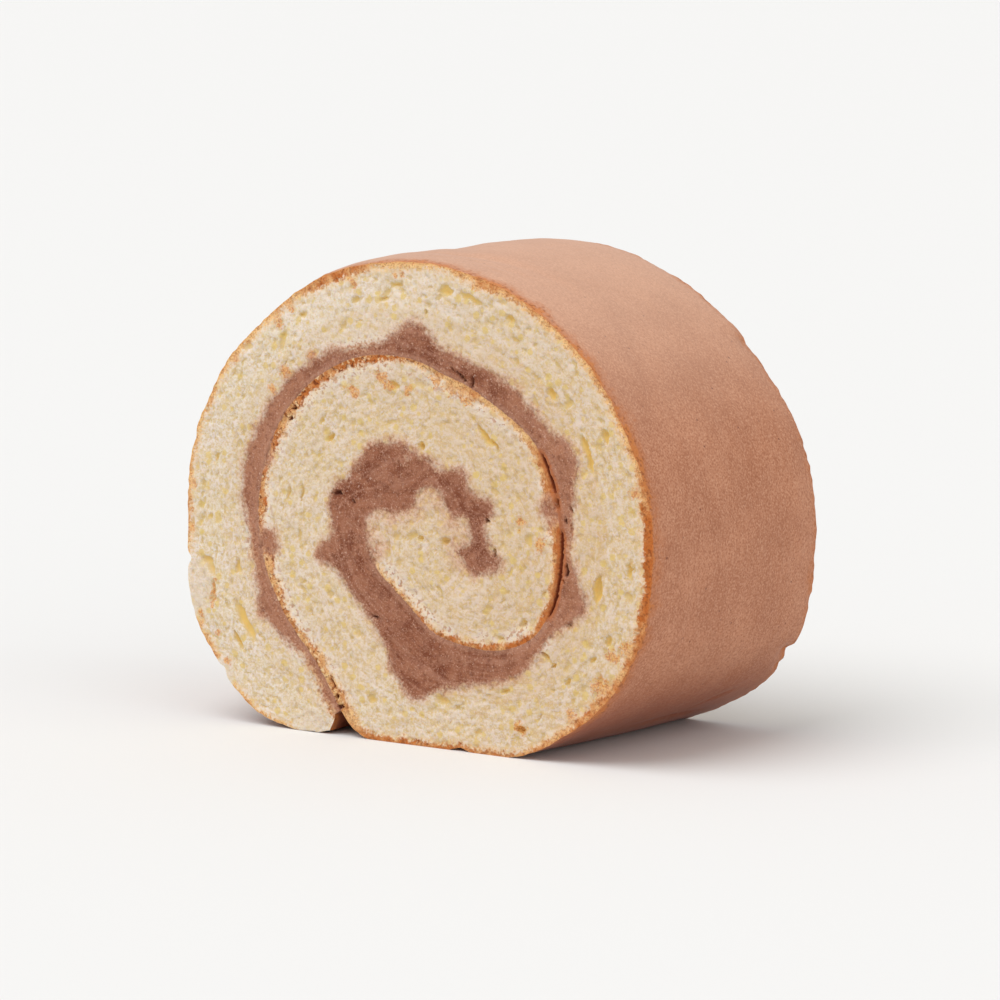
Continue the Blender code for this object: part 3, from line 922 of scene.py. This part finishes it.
def crumb_and_cream():
    """Both cut faces: the crumb with its browned edge, and the cream with its haze in the crumb."""
    look = Look("crumb_and_cream", Roughness=0.85, Specular_IOR_Level=0.2, Subsurface_Weight=0.25)
    look.set(Subsurface_Scale=0.0022, Subsurface_Radius=(1.0, 0.65, 0.3))
    step, times, plus, swing = look.step, look.times, look.plus, look.swing
    skin, cream, pit, crust_width = look.fields("skin_mm", "cream_mm", "pit_mm", "crust_mm")
    baked, bare, inner, stain = look.fields("baked", "bare", "inner_turn", "stain")
    lengthwise, across, core, crevice = look.fields("lengthwise_mm", "across_mm", "core", "crevice")

    # Bubbles too fine for the mesh, among walls that run a little along the sheet.
    wide = look.cells(0.00095)
    fine = look.cells(0.00052)
    wide_size = times(look.part(wide.outputs["Color"], 0), 0.5)
    in_wide = step(look.minus(wide.outputs["Distance"], wide_size), 0.14, -0.16)
    in_fine = step(fine.outputs["Distance"], 0.40, 0.10)
    strands = look.noise(0.00046, 3)
    fibres = look.noise(0.00060, 3, look.place_of(lengthwise, 0.00064, across, 0.001))
    tufts = look.noise(0.0011, 2, look.place_of(lengthwise, 0.00070, across, 0.001))
    dots = look.cells(0.0017, look.moved(0.19))
    grain = look.noise(0.00030, 2)
    flecks = look.noise(0.00062, 2, look.moved(0.37))
    patches = look.noise(0.0042, 3)
    lumps = look.noise(0.0030, 3, look.moved(0.71))
    walls = plus(times(strands, 0.65), times(fibres, 0.35))
    dot_size = plus(times(look.part(dots.outputs["Color"], 0), 0.40), swing(strands, 0.6))
    in_dot = step(look.minus(dots.outputs["Distance"], dot_size), 0.06, -0.08)
    hollow = look.math("MAXIMUM", times(in_wide, 0.7), times(in_fine, 0.6))
    rough_pit = plus(pit, swing(walls, -0.9))
    hollow = look.math("MAXIMUM", hollow, step(rough_pit, 0.06, 0.30))

    # Walls paler where they stand higher and the bubbles deep yellow, after the bumps' pattern: partly
    # painted light, for light that scatters inside the translucent crumb and gathers yellow in its hollows.
    # Yellower in patches, darker and warmer towards the right.
    face = Tone(look, step(walls, 0.42, 0.57), (211, 189, 154), (226, 213, 202))
    face.over((220, 201, 164), step(patches, 0.38, 0.60), 0.36)
    rightward = step(look.part_of_place("X"), -0.030, 0.035)
    coarse = plus(times(rightward, 0.45), 0.3)
    face.over((207, 177, 127), step(tufts, 0.50, 0.36), coarse)
    face.over((230, 216, 206), step(tufts, 0.54, 0.66), coarse)
    face.over((232, 221, 212), step(grain, 0.52, 0.66), 0.55)
    # Painted light: lighter towards the top of the cut face.
    face.over((232, 219, 206), step(look.part_of_place("Z"), 0.056, 0.070), 0.35)
    # Partly painted shade: darker and warmer towards the right, as if lit from the upper left; warmer also
    # beside the inner turn's crust.
    right_shade_and_inner_warmth = plus(times(rightward, 0.28), times(inner, 0.16))
    face.over((200, 162, 122), right_shade_and_inner_warmth)
    # Painted light: the bubbles and the deeper holes are laid over in a bright deep yellow, for light
    # scattered inside the crumb.
    face.over((211, 181, 114), hollow, 0.66)
    face.over((217, 187, 110), in_dot, 0.7)
    face.over((228, 192, 112), step(pit, 0.25, 0.6), 0.9)

    # Dry whitish crumb with brown specks just inside the inner turn's crust.
    dry = times(step(skin, 4.2, 1.4), inner)
    dry = times(dry, step(plus(patches, times(rightward, -0.12)), 0.30, 0.46))
    face.over((230, 219, 210), dry, 0.62)
    speck = times(step(flecks, 0.53, 0.61), dry)
    face.over((166, 96, 44), speck, 0.7)

    # Smooth pale crumb where the crust has come away.
    face.over((218, 201, 184), bare, 0.5)

    # Browning that ran in.
    spread = plus(stain, swing(strands, 3.0))
    spread = times(step(spread, 0.15, 1.0), step(stain, 0.0, 0.35))
    face.over(Tone(look, step(grain, 0.40, 0.6), (226, 168, 98), (190, 114, 48)), spread, 0.82)

    # The browned crust in section: uneven, paler inwards. The inner turn's left side is rough with dark
    # pits and pale specks, and its right side is smooth.
    uneven = swing(look.noise(0.0013, 3), 2.0)
    fray = swing(strands, 1.8)
    crust_depth = look.minus(plus(plus(skin, uneven), fray), crust_width)
    face.over((230, 194, 150), step(crust_depth, 1.2, 0.0), 0.45)
    shade = plus(baked, swing(look.noise(0.0019, 2, look.moved(0.29)), 1.3))
    crust = Tone(look, step(shade, 0.15, 1.0), (234, 194, 138), (184, 104, 46))
    crust.over((190, 118, 66), step(skin, 0.5, 0.0), 0.4)
    crust.over((160, 86, 38), step(grain, 0.5, 0.62), 0.5)
    rough = times(inner, step(look.part_of_place("X"), 0.010, -0.004))
    roughness = plus(times(rough, 0.45), plus(times(baked, 0.45), 0.1))
    dark = times(step(flecks, 0.54, 0.64), roughness)
    pale = times(step(look.noise(0.00075, 2, look.moved(0.83)), 0.55, 0.68), rough)
    crust.over((120, 60, 28), dark)
    crust.over((238, 206, 162), pale, 0.75)
    # Painted shade: darker in the crust's deep pits and cracks.
    crust.over((124, 66, 34), step(pit, 0.3, 0.8))
    face.over(crust, step(crust_depth, 0.35, -0.35))

    # The cream's haze in the crumb beside it, widest at the core. Its lumps stand out pale and soft.
    ragged = swing(strands, 1.8)
    ragged = plus(ragged, swing(lumps, 3.4))
    ragged = plus(ragged, swing(grain, 1.4))
    edge = plus(cream, ragged)
    reach = plus(times(core, 3.0), 1.8)
    far_haze = look.math("DIVIDE", edge, reach)
    speckle = plus(times(step(grain, 0.38, 0.6), 0.5), 0.35)
    haze = times(step(far_haze, 1.0, 0.0), speckle)
    face.over(Tone(look, step(flecks, 0.4, 0.62), (212, 172, 146), (182, 128, 100)), haze)

    # The cream: mottled, streaked along the sheet, with pale grains and dark pores.
    streaks = look.noise(0.0008, 3, look.place_of(lengthwise, 0.00014, across, 0.001))
    cloud = look.noise(0.0016, 3, look.moved(0.13))
    filling = Tone(look, step(lumps, 0.38, 0.62), (151, 97, 72), (120, 66, 44))
    sides = step(look.math("ABSOLUTE", look.part_of_place("X")), 0.012, 0.026)
    filling.over((184, 130, 100), sides, 0.5)
    filling.over((182, 134, 110), step(skin, 1.0, 0.3), 0.5)
    filling.over((176, 124, 96), step(edge, -1.4, 0.2), 0.5)
    filling.over((166, 116, 92), step(cloud, 0.46, 0.66), 0.45)
    filling.over((122, 70, 50), step(cloud, 0.46, 0.30), 0.5)
    filling.over((174, 126, 104), step(streaks, 0.48, 0.66), 0.4)
    filling.over((120, 68, 50), step(streaks, 0.44, 0.30), 0.4)
    filling.over((190, 144, 120), step(grain, 0.52, 0.66), 0.5)
    filling.over((110, 60, 42), step(flecks, 0.54, 0.70), 0.5)
    sparks = look.noise(0.00040, 1, look.moved(0.47))
    filling.over((222, 186, 166), step(sparks, 0.64, 0.78), 0.5)
    # Painted shade: darker in the cream's pores and cracks.
    filling.over((112, 62, 44), step(pit, 0.12, 0.5))
    off_crust = step(plus(skin, swing(strands, 1.2)), -0.05, 0.15)
    deep = step(cream, 0.5, 0.0)
    face.over(filling, times(step(edge, 0.8, -0.7), look.math("MAXIMUM", off_crust, deep)))

    # The crevice beside the inner turn's crust, red-brown along its edge, and dark along its middle with
    # painted shade.
    face.over((172, 94, 46), step(crevice, 0.05, 0.45), 0.7)
    face.over((120, 52, 24), step(crevice, 0.6, 0.85))
    look.set(Base_Color=face.color)

    height = look.minus(times(walls, 1.2), hollow)
    normal = look.bump(height, 0.00016, 0.45)
    normal = look.bump(grain, 0.00010, 0.35, normal)
    look.set(Normal=normal)
    return look.material


def browned_skin():
    """The browned skin: fine grain, pin pores, faint streaks round the roll, orange beside the cuts."""
    look = Look("browned_skin", Roughness=0.6, Specular_IOR_Level=0.22)
    look.set(Sheen_Weight=0.08, Sheen_Roughness=0.4)
    step, times, plus, swing = look.step, look.times, look.plus, look.swing
    around, along = look.fields("around_mm", "along_mm")
    streaks = look.noise(0.006, 3, look.place_of(around, 0.001, along, 0.005))
    clouds = look.noise(0.009, 3)
    grain = look.noise(0.00034, 2)
    mottle = look.noise(0.0011, 3)
    tone = Tone(look, step(clouds, 0.3, 0.7), (176, 117, 86), (190, 131, 99))
    tone.over((198, 146, 117), step(streaks, 0.4, 0.7), 0.18)
    tone.over((150, 90, 60), step(grain, 0.5, 0.66), 0.55)
    tone.over((212, 160, 130), step(grain, 0.48, 0.32), 0.5)
    tone.over((162, 102, 72), step(mottle, 0.5, 0.7), 0.35)

    # Pin pores, few and dark.
    pores = look.cells(0.0022)
    chosen = step(look.part(pores.outputs["Color"], 0), 0.55, 0.6)
    is_pore = times(step(pores.outputs["Distance"], 0.11, 0.05), chosen)
    tone.over((112, 62, 44), is_pore, 0.8)

    # The browning is stronger and more orange in a ragged band beside each cut.
    from_cut = look.math("MINIMUM", along, look.minus(ROLL_LENGTH / MM + FAR_RIM_THINNER, along))
    wander = swing(look.noise(0.005, 2), 5.0)
    frayed = swing(look.noise(0.0007, 3), 3.5)
    rim = plus(plus(from_cut, wander), frayed)
    height = look.part_of_place("Z")
    # Painted sheen: paler towards the top, for the pale glancing reflection on the roll's top; partly a paler
    # browning there too.
    tone.over((216, 180, 156), step(height, 0.046, 0.080), 0.5)
    # Painted shade: darker and redder near the floor, on the shaded underside.
    tone.over((140, 66, 34), step(height, 0.017, 0.002), 0.8)
    tone.over((184, 110, 62), step(rim, 2.8, 0.5), 0.55)
    tone.over((196, 118, 52), step(rim, 0.9, 0.0), 0.65)
    burnt = step(look.noise(0.0006, 2, look.moved(0.53)), 0.52, 0.66)
    tone.over((128, 70, 36), times(burnt, step(rim, 2.0, 0.4)), 0.6)
    look.set(Base_Color=tone.color)

    normal = look.bump(mottle, 0.00022, 0.35)
    normal = look.bump(look.minus(grain, is_pore), 0.00010, 0.5, normal)
    look.set(Normal=normal)
    return look.material


def pale_floor():
    look = Look("pale_floor", Roughness=0.9, Base_Color=(0.76, 0.76, 0.755, 1))
    mesh = bpy.data.meshes.new("floor")
    half = 9.0
    corners = [(-half, -half, 0), (half, -half, 0), (half, half, 0), (-half, half, 0)]
    mesh.from_pydata(corners, [], [(0, 1, 2, 3)])
    mesh.materials.append(look.material)
    return new_object("floor", mesh)


def direction(azimuth, elevation):
    """Towards this bearing and height in degrees. A bearing of 0 is -Y, and 90 is +X."""
    a, e = math.radians(azimuth), math.radians(elevation)
    return Vector((math.sin(a) * math.cos(e), -math.cos(a) * math.cos(e), math.sin(e)))


def aim(thing, back):
    """Turns a light or a camera so that this direction is behind it."""
    thing.rotation_mode = "QUATERNION"
    thing.rotation_quaternion = (-back).to_track_quat("-Z", "Y")


def soft_light(name, azimuth, elevation, spread, strength):
    """Even light from a wide patch of the sky."""
    data = bpy.data.lights.new(name, "SUN")
    data.angle, data.energy = math.radians(spread), strength
    aim(new_object(name, data), direction(azimuth, elevation))


def set_camera():
    """The photo's view: a long lens, a little above the roll, to the right of its near cut."""
    back = direction(CAMERA_AZIMUTH, CAMERA_ELEVATION)
    data = bpy.data.cameras.new("camera")
    data.sensor_width, data.lens = 36, LENS
    data.clip_start, data.clip_end = 0.05, 30
    camera = new_object("camera", data)
    camera.location = LOOKED_AT + back * CAMERA_DISTANCE
    aim(camera, back)
    bpy.context.scene.camera = camera


def set_world():
    world = bpy.data.worlds.new("studio")
    world.use_nodes = True
    sky = world.node_tree.nodes["Background"]
    sky.inputs["Color"].default_value = (1.0, 0.99, 0.975, 1)
    sky.inputs["Strength"].default_value = 0.62
    bpy.context.scene.world = world


sponge, cream = build_roll(crumb_and_cream(), browned_skin())
for piece, node in ((sponge, "sponge"), (cream, "cream")):
    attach(piece, "root")
    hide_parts(node)
pale_floor()

soft_light("key", -30, 62, 50, 1.9)
soft_light("fill", 75, 25, 60, 0.6)
set_world()
set_camera()
bpy.context.scene.view_settings.view_transform = "Standard"
